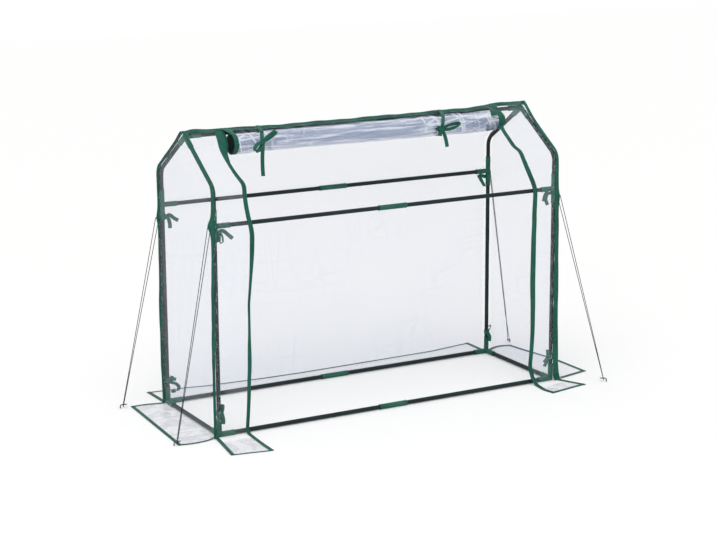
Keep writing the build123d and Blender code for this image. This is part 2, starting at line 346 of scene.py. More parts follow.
def crease_group():
    """Film creases: thin lines where two stretched noises cross their middle, wide haze, short crinkle spots
    across a tight edge, which carry the painted glints and raise the relief a little, long streaks and soft
    patches."""
    inputs = [("Pattern", VECTOR, None), ("Turn", FLOAT, 0.0)]
    outputs = ("Lines", "Haze", "CrinkleGlints", "Streaks", "Mottle", "Height")
    tree, given, out = group("film_creases", inputs, outputs)
    turning = {"Vector": given["Pattern"], "Angle": given["Turn"]}
    turned = add(tree, "ShaderNodeVectorRotate", turning).outputs[0]
    lines = []
    for pull, size, sharp in (((7.0, 0.8, 1.0), 2.2, 24.0), ((1.0, 8.0, 1.0), 2.0, 26.0)):
        wave = noise(tree, stretch(tree, turned, pull), size, 0.6, 0.15)
        off = calc(tree, "ABSOLUTE", calc(tree, "SUBTRACT", wave, 0.5))
        lines.append(calc(tree, "MAXIMUM", calc(tree, "MULTIPLY_ADD", off, -sharp, 1.0), 0.0))
    haze = noise(tree, turned, 3.0, 4.0)
    seen = calc(tree, "MULTIPLY", calc(tree, "MAXIMUM", *lines), ramp(tree, haze, 0.42, 0.66))
    waves = {}
    for label, pull, detail, bend, low, high in (("CrinkleGlints", (140.0, 210.0, 1.0), 1.5, 1.2, 0.63, 0.72),
                                                 ("Streaks", (75.0, 5.0, 1.0), 3.0, 0.8, 0.46, 0.66),
                                                 ("Mottle", (13.0, 22.0, 1.0), 4.0, 1.0, 0.36, 0.64)):
        waves[label] = noise(tree, stretch(tree, given["Pattern"], pull), 1.0, detail, bend)
        feed(tree, out, {label: ramp(tree, waves[label], low, high)})
    small = calc(tree, "MULTIPLY_ADD", waves["CrinkleGlints"], 0.3, haze)
    feed(tree, out, {"Lines": seen, "Haze": haze, "Height": calc(tree, "MULTIPLY_ADD", seen, 0.15, small)})
    return tree


WEAVE, MOTTLE, CREASES = weave_group(), mottle_group(), crease_group()


def effect(tree, made, **inputs):
    """An effect group placed in a material."""
    return add(tree, "ShaderNodeGroup", inputs, node_tree=made).outputs


def finish(name):
    """A new material, its tree, its shader's inputs and the places that patterns read."""
    made = bpy.data.materials.new(name)
    made.use_nodes = True
    tree = made.node_tree
    at = {"object": tree.nodes.new("ShaderNodeTexCoord").outputs["Object"],
          "pattern": add(tree, "ShaderNodeUVMap", uv_map="pattern").outputs[0]}
    return made, tree, tree.nodes["Principled BSDF"].inputs, at


def relief(tree, height, depth, strength=1.0):
    """Normals of a relief of that depth."""
    return add(tree, "ShaderNodeBump", {"Height": height, "Distance": depth, "Strength": strength}).outputs[0]


# Colour of the painted glints: pale spots on tight, crinkled film that stand in for highlights
GLINT_TINT = (0.85, 0.88, 0.92)


def film_finish(name, tint, ground_shade_tint, crease_sheen_tint, clear, lines, marks, rough, turn=0.0, depth=0.0012,
                streaks=0.0, patches=0.0):
    """Clear film: faintly tinted and mostly see-through, denser where it is creased, with painted glints as
    short pale spots where it is tight, and a painted sheen in a paler tint along its crease lines and
    streaks. Its veil attribute thins it, or thickens it and darkens it with a painted shade tint where it is
    over 1, as on the ground, and its glint_share attribute places the painted glints, as dense as marks."""
    made, tree, surface, at = finish(name)
    crease = effect(tree, CREASES, Pattern=at["pattern"], Turn=turn)
    glint_share, veil = (add(tree, "ShaderNodeAttribute", attribute_name=label).outputs["Fac"]
                    for label in ("glint_share", "veil"))
    # Painted glints: crinkle spots where the film is tight, made denser and turned to the glint colour
    glint = calc(tree, "MULTIPLY", crease["CrinkleGlints"], glint_share)
    hazy = calc(tree, "MULTIPLY_ADD", crease["Haze"], 0.03, clear - 0.015)
    lined = calc(tree, "MULTIPLY_ADD", crease["Lines"], lines, hazy)
    body = calc(tree, "MULTIPLY", veil, calc(tree, "MULTIPLY_ADD", crease["Streaks"], streaks, lined))
    laid = calc(tree, "MINIMUM", calc(tree, "MAXIMUM", calc(tree, "SUBTRACT", veil, 1.0), 0.0), 1.0)
    uneven = calc(tree, "MULTIPLY_ADD", crease["Mottle"], patches, -0.4 * patches)
    patchy = calc(tree, "MULTIPLY", laid, uneven)
    dense = calc(tree, "ADD", calc(tree, "MULTIPLY_ADD", glint, marks, body), patchy)
    alpha = calc(tree, "MINIMUM", calc(tree, "MAXIMUM", dense, 0.01), 0.9)
    # Painted sheen: crease lines, and on the roll its streaks, turn the colour to the paler crease tint
    streak_sheen = calc(tree, "MULTIPLY", crease["Streaks"], min(10 * streaks, 1.0))
    # Painted shade: where the film lies on the ground its tint goes to the darker ground tint
    body_tint = blend(tree, laid, tint, ground_shade_tint)
    sheened_tint = blend(tree, calc(tree, "MAXIMUM", crease["Lines"], streak_sheen), body_tint, crease_sheen_tint)
    # Share of the painted glint colour
    pale = calc(tree, "MINIMUM", calc(tree, "MULTIPLY", glint, 2.5), 1.0)
    feed(tree, surface, {"Alpha": alpha, "Base Color": blend(tree, pale, sheened_tint, GLINT_TINT), "IOR": 1.55,
                         "Roughness": ramp(tree, crease["Haze"], 0.3, 0.7, rough * 0.7, rough * 1.5),
                         "Normal": relief(tree, crease["Height"], depth)})
    return made


def cloth_finish(name, dark, light, threads, sheen):
    """Woven tape or ribbon: two shades by its threads, uneven dye and a soft sheen."""
    made, tree, surface, at = finish(name)
    weave = effect(tree, WEAVE, Pattern=at["pattern"], Threads=threads)
    mottle = effect(tree, MOTTLE, Place=at["object"], Wide=14.0, Fine=900.0)
    shade = calc(tree, "MULTIPLY_ADD", mottle["Soft"], 0.45, calc(tree, "MULTIPLY", weave["Shade"], 0.55))
    feed(tree, surface, {"Base Color": blend(tree, shade, dark, light),
                         "Roughness": ramp(tree, mottle["Grain"], 0.0, 1.0, 0.5, 0.72),
                         "Normal": relief(tree, weave["Height"], 0.00025, 0.8), "Sheen Weight": sheen,
                         "Sheen Roughness": 0.4, "Specular IOR Level": 0.25})
    return made


def hard_finish(name, dark, light, rough, coat, gloss, grain, depth, wide=7.0):
    """Moulded or painted surface: soft uneven colour, rubbed paler patches and fine grain."""
    made, tree, surface, at = finish(name)
    mottle = effect(tree, MOTTLE, Place=at["object"], Wide=wide, Fine=grain)
    shade = calc(tree, "MULTIPLY_ADD", mottle["Soft"], 0.75, calc(tree, "MULTIPLY", mottle["Grain"], 0.25))
    feed(tree, surface, {"Base Color": blend(tree, shade, dark, light),
                         "Roughness": ramp(tree, shade, 0.0, 1.0, rough * 0.8, rough * 1.25),
                         "Normal": relief(tree, mottle["Grain"], depth, 0.7), "Coat Weight": coat,
                         "Coat Roughness": 0.25, "Specular IOR Level": gloss})
    return made


# Tints in order: the film's body, its darker tint on the ground (painted shade), and the paler tint of its
# creases and streaks (painted sheen); marks is how dense its painted glints are
COVER_FILM = film_finish("cover_film", (0.80, 0.86, 0.97), (0.33, 0.34, 0.46), (0.88, 0.91, 0.97),
                         clear=0.054, lines=0.03, marks=0.75, rough=0.13, patches=0.14)
BACK_FILM = film_finish("back_film", (0.30, 0.38, 0.60), (0.30, 0.38, 0.60), (0.42, 0.49, 0.66),
                        clear=0.108, lines=0.03, marks=0.40, rough=0.13)
ROLL_FILM = film_finish("rolled_film", (0.28, 0.36, 0.56), (0.28, 0.36, 0.56), (0.88, 0.92, 0.98),
                        clear=0.070, lines=0.20, marks=0.60, rough=0.12, turn=1.3, depth=0.004, streaks=0.12)
TAPE = cloth_finish("binding_tape", (0.002, 0.050, 0.032), (0.009, 0.125, 0.082), threads=700.0, sheen=0.06)
# Near-black copy of the tape for the roll's inner turns: painted shade between the wound layers
TAPE_SHADED = cloth_finish("binding_tape_painted_shade", (0.001, 0.006, 0.005), (0.002, 0.016, 0.012), threads=700.0,
                           sheen=0.0)
RIBBON = cloth_finish("tie_ribbon", (0.003, 0.055, 0.037), (0.012, 0.135, 0.092), threads=900.0, sheen=0.06)
ROPE = cloth_finish("guy_rope", (0.010, 0.009, 0.011), (0.036, 0.030, 0.036), threads=1200.0, sheen=0.05)
THREAD = cloth_finish("sewing_thread", (0.010, 0.120, 0.075), (0.030, 0.230, 0.150), threads=1500.0,
                      sheen=0.3)
PAINT = hard_finish("tube_paint", (0.007, 0.015, 0.016), (0.015, 0.028, 0.030), rough=0.45, coat=0.02,
                    gloss=0.14, grain=900.0, depth=0.00012)
SOCKET_PLASTIC = hard_finish("socket_plastic", (0.010, 0.074, 0.050), (0.026, 0.128, 0.088), rough=0.42,
                             coat=0.04, gloss=0.15, grain=500.0, depth=0.00018)
PEG_PAINT = hard_finish("peg_paint", (0.030, 0.034, 0.034), (0.085, 0.090, 0.090), rough=0.38, coat=0.1,
                        gloss=0.3, grain=700.0, depth=0.00015, wide=40.0)


# Lines of the cover

FOLD_POINTS, EAVE_POINTS, RIDGE_POINTS = 12, 28, 10


def cover_line(eave, foot):
    """Line of the film on one long side: along its skirt, round a fold at the foot, up the wall, round the
    eave, up the slope and over half the ridge. Rows are distance from the fold's top, outward place, height
    and normal."""
    lean = math.pi / 2 - SLOPE
    straight = EAVE_Z + COVER * (1 - math.sin(SLOPE)) / math.cos(SLOPE) - eave * math.tan(lean / 2)
    arcs = [(WALL_Y + foot, LOW + foot, foot, np.linspace(-math.pi / 2, -math.pi, FOLD_POINTS), -1),
            (WALL_Y - eave, straight, eave, np.linspace(0, lean, EAVE_POINTS), 1),
            (0, RIDGE_Z, COVER, np.linspace(lean, math.pi / 2, RIDGE_POINTS), 1)]
    runs = [np.hstack([(out, z) + r * spoke(a), turn * spoke(a)]) for out, z, r, a, turn in arcs]
    rows = np.concatenate([[[WALL_Y + SKIRT, LOW, 0, 1]], *runs])
    far = travel(rows[:, :2])
    return np.column_stack([far - far[FOLD_POINTS], rows])


LINE = cover_line(EAVE, FOLD)
DOOR_LINES = {side: np.column_stack([LINE[:, 0], cover_line(DOOR_EAVE[side], DOOR_FOOT[side])[:, 1:]])
              for side in SIDES}
TOP = LINE[-1, 0]
MID_S = MID_Z - LOW - FOLD


def on_cover(s, line=LINE):
    """Outward place, height and normal of the cover's line at distances s."""
    return [np.interp(s, line[:, 0], line[:, k]) for k in (1, 2, 3, 4)]


# Place along the house, and the lift there
RIDGE_LIFTS = [(-0.751, 0.004), (-0.705, 0.010), (-0.62, 0.006), (-0.55, 0.0065), (-0.44, 0.0025),
               (0.03, 0.0026), (0.48, 0.0055), (0.60, 0.013), (0.68, 0.0145), (0.751, 0.0125)]


def ridge_lift(x):
    """How far the cover's ridge stands above the ridge tube at places x."""
    return smooth_table(x, RIDGE_LIFTS)


def slope_lift(x, s):
    """The ridge's lift at places x and distances s, falling as a bell down the slope."""
    return ridge_lift(x) * near(s, TOP, 0.07)


# Slack of each corner's seam as bells, and its splay at the foot, flare at the foot and splay along the skirt
SEAMS = {
    (LEFT, FRONT): [(0.22, 0.16, 0.0050), (0.52, 0.14, 0.0035), (0.68, 0.06, 0.0030), (0.90, 0.06, 0.0025)],
    (LEFT, BACK): [(0.15, 0.10, 0.0035), (0.36, 0.12, 0.0055), (0.60, 0.10, 0.0020), (0.91, 0.07, 0.0010)],
    (RIGHT, FRONT): [(0.12, 0.09, 0.0040), (0.40, 0.14, 0.0030), (0.62, 0.09, 0.0020), (0.92, 0.06, 0.0010)],
    (RIGHT, BACK): [(0.20, 0.13, 0.0040), (0.50, 0.11, 0.0045), (0.70, 0.05, 0.0020), (0.93, 0.07, 0.0045)],
}
SPLAYS = {(LEFT, FRONT): (0.009, 0.0, 0.032), (LEFT, BACK): (0.0, 0.0, 0.004),
          (RIGHT, FRONT): (0.009, 0.012, 0.068), (RIGHT, BACK): (0.0, 0.0, 0.004)}


def seam(side, face, s):
    """How far the cover's corner stands off the frame at distances s: a little everywhere, with slack
    bells."""
    return 0.0004 + 0.5 * bells(s, SEAMS[side, face]) + 0.0015 * near(s, TOP, 0.05)


def corner_out(side, face, s):
    """How far the corner is beyond the frame along the house: its seam, and a splay and a flare at the
    foot."""
    foot, flare, _ = SPLAYS[side, face]
    return seam(side, face, s) + foot * np.clip(1 - s / 0.75, 0, 1) + flare * np.exp(-s / 0.045)


def corner_x(side, face, s):
    """Where the cover's corner is along the house; its skirt runs on and splays on the front."""
    skirt = SPLAYS[side, face][2] * np.clip(-s / SKIRT, 0, 1)
    return side * (END_X + corner_out(side, face, np.maximum(s, 0)) + skirt)


def corner_path(side, face, s):
    """The cover's corner line at distances s and its outward normal across the house."""
    out, z, n_out, n_z = on_cover(s)
    stand = seam(side, face, s)
    height = z + stand * n_z + slope_lift(side * POST_X, s)
    path = np.stack([corner_x(side, face, s), face * (out + stand * n_out), height], 1)
    return path, np.stack([0 * s, face * n_out, n_z], 1)


# Distance along the cover's line, and there the place and the width of the tape beside the door
DOOR_EDGES = {
    LEFT: [(-0.215, -0.642), (-0.12, -0.639), (-0.036, -0.633), (0.0, -0.630), (0.063, -0.625),
           (0.15, -0.620), (0.24, -0.616), (0.35, -0.616), (0.44, -0.614), (0.525, -0.609), (0.61, -0.602),
           (0.70, -0.5965), (0.742, -0.598), (0.803, -0.612), (0.867, -0.621), (0.948, -0.624),
           (0.98, -0.629), (1.017, -0.633), (1.107, -0.636), (1.178, -0.626), (1.30, -0.609)],
    RIGHT: [(-0.215, 0.654), (-0.15, 0.648), (-0.084, 0.640), (-0.013, 0.647), (-0.004, 0.643),
            (0.006, 0.637), (0.038, 0.6325), (0.081, 0.636), (0.134, 0.639), (0.20, 0.641), (0.30, 0.640),
            (0.40, 0.639), (0.55, 0.641), (0.68, 0.642), (0.778, 0.644), (0.814, 0.636), (0.851, 0.621),
            (0.888, 0.603), (0.917, 0.590), (0.944, 0.587), (0.959, 0.582), (0.979, 0.576), (1.031, 0.577),
            (1.083, 0.579), (1.16, 0.592), (1.30, 0.63)],
}
DOOR_WIDTHS = {
    LEFT: [(-0.21, 0.014), (0.0, 0.0135), (0.15, 0.0145), (0.27, 0.0155), (0.36, 0.0105), (0.45, 0.0095),
           (0.56, 0.0115), (0.68, 0.018), (0.80, 0.0165), (0.95, 0.0165), (1.05, 0.0135), (1.3, 0.0145)],
    RIGHT: [(-0.17, 0.016), (0.0, 0.018), (0.12, 0.0185), (0.25, 0.021), (0.40, 0.024), (0.60, 0.022),
            (0.75, 0.020), (0.90, 0.0185), (1.1, 0.017), (1.3, 0.017)],
}


def door_edge(side, s):
    """Middle of the tape along the door's edge at distances s."""
    return smooth_table(s, DOOR_EDGES[side])


def rows_of(skirt):
    """Distances of a film's rows, closer at the foot and round the eave."""
    spans = ((-skirt, -0.020, 18), (-0.0165, 0, 16), (0.012, 0.86, 76), (0.865, 0.99, 32), (0.998, TOP, 26))
    return np.concatenate([np.linspace(*span) for span in spans])


# Film

# Rows that a hem follows, and sizes of the folds of the long sides and the ends, and of the skirts' ripples
GROUND_ROWS = 33
LONG_FOLDS = {"lengths": (0.05, 0.26), "widths": (0.012, 0.035), "heights": (0.0008, 0.0034)}
END_FOLDS = {"lengths": (0.05, 0.24), "widths": (0.012, 0.032), "heights": (0.0008, 0.0032)}
RIPPLES = {"lengths": (0.04, 0.12), "widths": (0.010, 0.022), "heights": (0.001, 0.005)}

# How far a tube holds the film beside it, how far beside it the film carries painted glints, and how far it
# shows through it, how much it shows, and a seam's slack
HELD, GLINT_REACH, SHOWN = 0.035, 0.022, 0.022
OVER_TUBE = 0.82
SLACK = 0.06


def held_off(soft, tube_near):
    """Folds that go both ways in the open, and outward only and half as far where a tube lies behind them."""
    return (1 - tube_near) * soft + tube_near * np.abs(soft) * 0.5


def on_ground(run):
    """0 on the wall and 1 on the ground."""
    return np.clip(-run / 0.03, 0, 1)


def laid_down(lift, place, run, share, skirt, seed, count, span, turns):
    """A film's lift, which gives way on the ground to ripples that die out at the skirt's edges. share goes
    from 0 to 1 across the film."""
    ripple = np.abs(folds(place, run, seed, count, (span, (-skirt, 0.0)), turns, **RIPPLES))
    flat_edge = np.clip(6 * np.minimum(share, 1 - share), 0, 1) * np.clip(5 * (1 + run / skirt), 0, 1)
    return lift * (1 - on_ground(run)) + ripple * on_ground(run) * flat_edge


def film_piece(name, film, grid, s, wide, step, glint_share, veil, replaced, **sheet):
    """Film from its grid, with its columns taken forwards or backwards so that it faces outwards."""
    columns, glint_share, veil = (values[:, ::step] for values in (grid, glint_share, veil))
    part = grid_part(columns, s, np.linspace(0, wide, grid.shape[1]))
    piece = build(name, [part], film, replaced, FILM_WALL, {"glint_share": glint_share, "veil": veil})
    return grid


def long_film(name, film, face, door, cols, seed, turns, skirt, hem_out, veil, replaced, flat, held_by):
    """Film over one long side: the cover's line carried from corner to corner, or from a corner to the
    door's edge, and moved along its normal by soft folds, outward only where a tube lies behind it. Its
    skirt reaches further by hem_out, and beside the door the line bends to one with its own eave and
    foot."""
    s = rows_of(skirt)
    run = s[:, None]
    t = np.linspace(0, 1, cols)
    edges = [corner_x(side, face, s) if door in (0, side) else door_edge(door, s) + door * TAPE_LAP
             for side in SIDES]
    low, high = (edge[:, None] for edge in edges)
    x = low + (high - low) * t
    off_post = np.abs(x) - POST_X
    doorward = {0: 0 * t, LEFT: t ** 1.5, RIGHT: (1 - t) ** 1.5}[door]
    pairs = zip(on_cover(s), on_cover(s, DOOR_LINES.get(door, LINE)))
    out, z, n_out, n_z = (a[:, None] * (1 - doorward) + b[:, None] * doorward for a, b in pairs)
    out = out + np.interp(x, *np.transpose(hem_out)) * np.clip(-run / skirt, 0, 1)
    span, wide = (x.min(), x.max()), float(np.ptp(x))
    soft = folds(x, run, seed, int(26 + 30 * wide), (span, (0.0, TOP)), turns, **LONG_FOLDS)
    off_ends = np.clip(1 - (np.abs(x) / POST_X) ** 6, 0, 1)
    billow = -0.004 * np.sin(np.clip(run / MID_S, 0, 1) * math.pi) * off_ends
    tube_near = most(near(off_post, 0, HELD), near(run, MID_S, HELD), near(run, TOP, 0.06),
                     near(run, 0, 0.03))
    lift = held_off(soft, tube_near) + (1 - tube_near) * billow * (door == 0)
    lift = lift * np.clip((TOP - run - 0.03) / 0.05, 0, 1)
    for side, edge in zip(SIDES, (low, high)):
        if door in (0, side):
            gap = np.abs(x - edge)
            lift = lift * np.clip((gap - 0.020) / 0.03, 0, 1)
            lift = lift + seam(side, face, np.maximum(s, 0))[:, None] * np.exp(-gap / SLACK)
    lift = laid_down(lift, x, run, t, skirt, seed + 1, int(8 + 16 * wide), span, (0.6, 2.5))
    grid = np.stack([x, face * (out + lift * n_out), z + lift * n_z + slope_lift(x, run)], -1)
    # Painted glints where the film is tight, beside the posts and at the tees
    at_tee = 0.7 * near(run, MID_S, 0.03) * near(off_post, 0, 0.12)
    glint_share = np.maximum(near(off_post, 0, GLINT_REACH), at_tee) * (run > 0.05)
    beside_post, round_foot = (0.024, 0.045) if face == FRONT else (0.012, 0.0)
    at_foot = near(np.clip(run, -round_foot, None), -round_foot / 2, SHOWN + round_foot / 2)
    at_rail = near(run, MID_S, SHOWN) * (face == FRONT)
    on_tube = most(near(off_post, 0, beside_post), near(run, TOP, HELD), 0.8 * at_foot, 0.8 * at_rail)
    laid = np.clip((-run - round_foot) / 0.02, 0, 1)
    thin = 1 - (1 - veil) * laid - OVER_TUBE * on_tube * (run > -round_foot)
    return film_piece(name, film, grid, s, wide, -face, glint_share, thin, replaced, flat=flat, rests_on=held_by)


# Place across the house, and how much further the end's skirt reaches there
END_HEMS = {LEFT: [(-0.25, 0.015), (0.25, -0.014)],
            RIGHT: [(-0.25, 0.045), (0.0, 0.043), (0.15, 0.016), (0.25, 0.001)]}


def end_film(side, film, seed, veil, beside_post, cols=60):
    """Film over one gable and its skirt: level lines between the front and back corners, up to the peak,
    moved outward and inward by soft folds and out along the ground below the foot, where its sides
    spread."""
    s = rows_of(END_SKIRT)
    s[-1] -= 0.004
    run, up = s[:, None], np.maximum(s, 0)
    back = np.linspace(0, 1, cols)
    front = 1 - back
    edges = [corner_path(side, face, up)[0][:, None] for face in FACES]
    y, level = (edges[0][..., k] * front + edges[1][..., k] * back for k in (1, 2))
    span = (-0.25, 0.25)
    soft = folds(y, run, seed, 46, (span, (0.0, 1.2)), (0.5, 2.6), **END_FOLDS)
    half = np.maximum(on_cover(up)[0], 0.01)[:, None]
    from_edge = np.clip(1 - np.abs(y) / half, 0, 1) * half
    tube_near = np.maximum(near(from_edge, 0, HELD), near(run, 0, 0.03))
    slack = sum(corner_out(side, face, up)[:, None] * np.exp(-(half - face * y) / SLACK) for face in FACES)
    lift = held_off(soft, tube_near) * np.clip((from_edge - 0.012) / 0.03, 0, 1) + slack
    lift = laid_down(lift, y, run, back, END_SKIRT, seed + 1, 18, span, (0.4, 2.7))
    fold_out, fold_z, n_out, n_z = (v[:, None] for v in on_cover(np.minimum(s, 0)))
    along = np.clip(-run / END_SKIRT, 0, 1)
    hem_out = np.interp(y, *np.transpose(END_HEMS[side])) * along
    outward = END_X - WALL_Y + fold_out + hem_out + lift * n_out + slack * on_ground(run) * (1 - along)
    bow_out = np.sin(math.pi * along)
    if side == RIGHT:
        front_in, back_out = -0.044 * along, 0.050 * np.sin(2.4 * along)
    else:
        front_in, back_out = 0.008 * along + 0.014 * bow_out, 0.021 * along + 0.008 * bow_out
    y = y - front_in * front ** 2 + back_out * back ** 2
    grid = np.stack([side * outward, y, np.where(run >= 0, level, fold_z + lift * n_z)], -1)
    # Painted glints where the film is tight beside the corner tubes
    glint_share = near(from_edge, 0, GLINT_REACH) * (run > 0.05)
    on_tube = np.maximum(near(from_edge, 0.010, beside_post), 0.8 * near(run, 0, SHOWN))
    thin = 1 - (1 - veil) * np.clip(-run / 0.02, 0, 1) - OVER_TUBE * on_tube * (run > 0)
    name = SIDES[side]
    return film_piece(f"{name}_end_cover", film, grid, s, 0.5, side, glint_share, thin,
                      (f"{name}_end_film", f"{name}_ground_flap"), flat=(0.505, 1.285), area=0.60,
                      rests_on=[f"front_{name}_post", f"back_{name}_post"])


HEAD_ROWS, TURNS, PER_TURN = 12, 7, 28


def roll_line():
    """The door's section: straight from the ridge to the top of the roll, then a spiral that winds inward.
    Gives distances, places across and up, and a share that is 1 at the ridge and 0 from the roll on."""
    gap = np.array([0.0, RIDGE_TOP]) - ROLL_AXIS
    start = math.atan2(gap[1], gap[0]) + math.acos(ROLL_R / np.linalg.norm(gap))
    a = start + np.linspace(0, TURNS * ROUND, TURNS * PER_TURN)
    spiral = ROLL_AXIS + np.linspace(ROLL_R, CORE_R, len(a))[:, None] * spoke(a)
    straight = np.linspace([-0.003, RIDGE_TOP - 0.0015], spiral[0], HEAD_ROWS + 1)[:-1]
    line = np.concatenate([straight, spiral])
    head = np.clip(1 - np.arange(len(line)) / HEAD_ROWS, 0, 1)
    return travel(line), line, head * head * (3 - 2 * head)


def rolled(x, line, head=0.0):
    """The door's section at places x, pressed in and out alike for all its turns: wide waves round it,
    dents along it and a squeeze at each tie. Its head rises with the ridge."""
    rel = line[None] - ROLL_AXIS
    a = np.arctan2(rel[..., 1], rel[..., 0])
    far = np.linalg.norm(rel, axis=-1)
    place = x[:, None]
    messy = 1 + 1.5 * near(place, -0.50, 0.10) + 0.9 * near(place, -0.30, 0.06)
    messy = messy + 0.5 * near(place, 0.36, 0.10)
    waves = [(0.030, 2, 1.1 + 2.1 * np.sin(2.2 * place)), (0.022, 3, -7.0 * place),
             (0.016, 5, 19.0 * place + 1.4 * np.sin(13 * place)), (0.012, 7, -31.0 * place),
             (0.010, 9, 47.0 * place + 2.0 * np.sin(23 * place))]
    swell = sum(height * np.cos(count * a + shift) for height, count, shift in waves)
    squeeze = sum(0.14 * near(place, tie, 0.024) for tie in TIE_PLACES)
    squeeze = squeeze + 0.27 * np.clip((place - ROLL_X + 0.025) / 0.013, 0, 1)
    messy = messy * np.clip((ROLL_X - np.abs(place)) / 0.06, 0.25, 1)
    inside = np.clip((1.6 - far / ROLL_R) * 2.2, 0, 1)
    moved = ROLL_AXIS + rel * (1 + inside * (messy * swell - squeeze))[..., None]
    moved[..., 1] += ridge_lift(x)[:, None] * head
    return np.concatenate([np.broadcast_to(place[..., None], moved.shape[:2] + (1,)), moved], -1)


def set_in(points):
    """Inner turns drawn in from the roll's ends, more towards its core."""
    far = np.linalg.norm(points[..., 1:] - ROLL_AXIS, axis=-1)
    x = points[..., 0]
    inset = 0.022 * np.clip(1 - far / (0.93 * ROLL_R), 0, 1) ** 0.6 * np.clip(np.abs(x) / ROLL_X, 0, 1) ** 12
    return np.concatenate([(x - np.sign(x) * inset)[..., None], points[..., 1:]], -1)


# Rows of the left and right tapes' outer parts; then row, place along the roll, and there how far the tape
# is drawn along, widened by and sunk under the film
EDGE_TAPES = [
    (HEAD_ROWS + PER_TURN + 4,
     [(0, -0.587, 0.0055, 1.05, 0), (6, -0.587, 0.0068, 0.52, 0), (HEAD_ROWS, -0.587, ROLL_SHORT, 0, 0)]),
    (HEAD_ROWS + TURNS * PER_TURN,
     [(0, 0.604, 0, 0.9, 0), (HEAD_ROWS, 0.563, 0, 0.8, 0), (HEAD_ROWS + 3, 0.555, 0, 0.8, 0),
      (HEAD_ROWS + 5, 0.551, 0, 0.8, 0.0014), (HEAD_ROWS + 14, 0.549, 0, 0.7, 0.0014),
      (HEAD_ROWS + 20, 0.549, 0.034, 0.5, 0), (HEAD_ROWS + 3 * PER_TURN, 0.549, 0.052, 0.2, 0),
      (HEAD_ROWS + TURNS * PER_TURN, 0.549, 0.060, 0, 0)]),
]


def door_film():
    """The door's film, hung from the ridge and rolled up, with its edge tapes wound in at both ends: the
    outer turn and head of each tape, and its inner turns in a near-black copy of the tape, painted shade
    between the wound layers."""
    far, line, head = roll_line()
    x = np.linspace(-ROLL_X + ROLL_SHORT + 0.004, ROLL_X - 0.004, 150)
    grid = set_in(rolled(x, line, head)).transpose(1, 0, 2)
    rows = np.arange(len(line))
    outside = ((rows >= HEAD_ROWS) & (rows < HEAD_ROWS + PER_TURN))[:, None]
    dense = np.where(outside, 2.0, np.where(rows[:, None] < HEAD_ROWS, 0.22, 0.65))
    # Painted glints on the roll's outer turn, most where it is crumpled at the ties
    crumple_glint = 0.20 + 0.80 * most(near(x, -0.47, 0.06), near(x, -0.29, 0.05), 0.6 * near(x, 0.45, 0.10))
    marks = {"glint_share": outside * crumple_glint, "veil": dense + 0 * x}
    part = grid_part(grid, far, x)
    piece = build("door_film", [part], ROLL_FILM, ("rolled_door",), ROLL_WALL, marks)
    outer, inner = [], []
    across = np.linspace(-0.009, 0.009, 5)
    for first, table in EDGE_TAPES:
        at, *columns = np.transpose(table)
        middle_x, drawn, widen, sunk = (np.interp(rows, at, v)[:, None] for v in columns)
        wound = [rolled(middle_x[:, 0] + place, line, head)[rows, rows] for place in across]
        wound = set_in(np.stack(wound, 1))
        wound[..., 0] += drawn + widen * across
        wound[..., 1:] -= sunk[..., None] * unit(wound[..., 1:] - ROLL_AXIS)
        outer.append(grid_part(wound[:first], far[:first], across))
        if first < len(rows):
            inner.append(grid_part(wound[first - 1:], far[first - 1:], across))
    build("door_edge_tapes", outer, TAPE, thick=0.0012)
    # Inner turns in the painted shade copy of the tape
    build("door_edge_turns", inner, TAPE_SHADED, thick=0.0036)


# Place along the house, and how much further a long side's skirt reaches there
BACK_HEM = [(-0.75, -0.026), (-0.69, -0.034), (-0.58, -0.042), (-0.51, -0.058), (-0.36, -0.068),
            (-0.26, -0.075), (-0.09, -0.080), (0.2, -0.074), (0.546, -0.066), (0.658, -0.048),
            (0.75, -0.034)]
STRIP_HEMS = {LEFT: [(-0.80, 0.009), (-0.65, 0.036)], RIGHT: [(0.64, -0.012), (0.83, -0.040)]}
STRIP_SKIRTS = {LEFT: SKIRT, RIGHT: FRONT_RIGHT_SKIRT}

# A veil over 1 makes film on the ground denser and, on cover film, darker with painted shade
back_grid = long_film("back_film", BACK_FILM, BACK, 0, 150, 11, (0.2, 2.9), SKIRT, BACK_HEM, 0.30,
                      ("back_wall_film", "back_roof_film", "back_ground_flap"), (1.505, 1.43),
                      ["back_mid_rail", "ridge_rail"])
strip_grids = {}
for strip, strip_seed, strip_length in ((LEFT, 23, 1.43), (RIGHT, 37, 1.40)):
    corner = f"front_{SIDES[strip]}"
    strip_grids[strip] = long_film(f"{corner}_cover", COVER_FILM, FRONT, strip, 34, strip_seed, (1.0, 2.1),
                                   STRIP_SKIRTS[strip], STRIP_HEMS[strip], 1.8,
                                   (f"{corner}_film", f"{corner}_ground_flap"), (0.13, strip_length),
                                   [f"{corner}_post", f"{corner}_rafter"])
end_grids = {LEFT: end_film(LEFT, COVER_FILM, 51, veil=1.8, beside_post=0.020),
             RIGHT: end_film(RIGHT, BACK_FILM, 67, veil=0.30, beside_post=0.012)}
door_film()


# Tapes

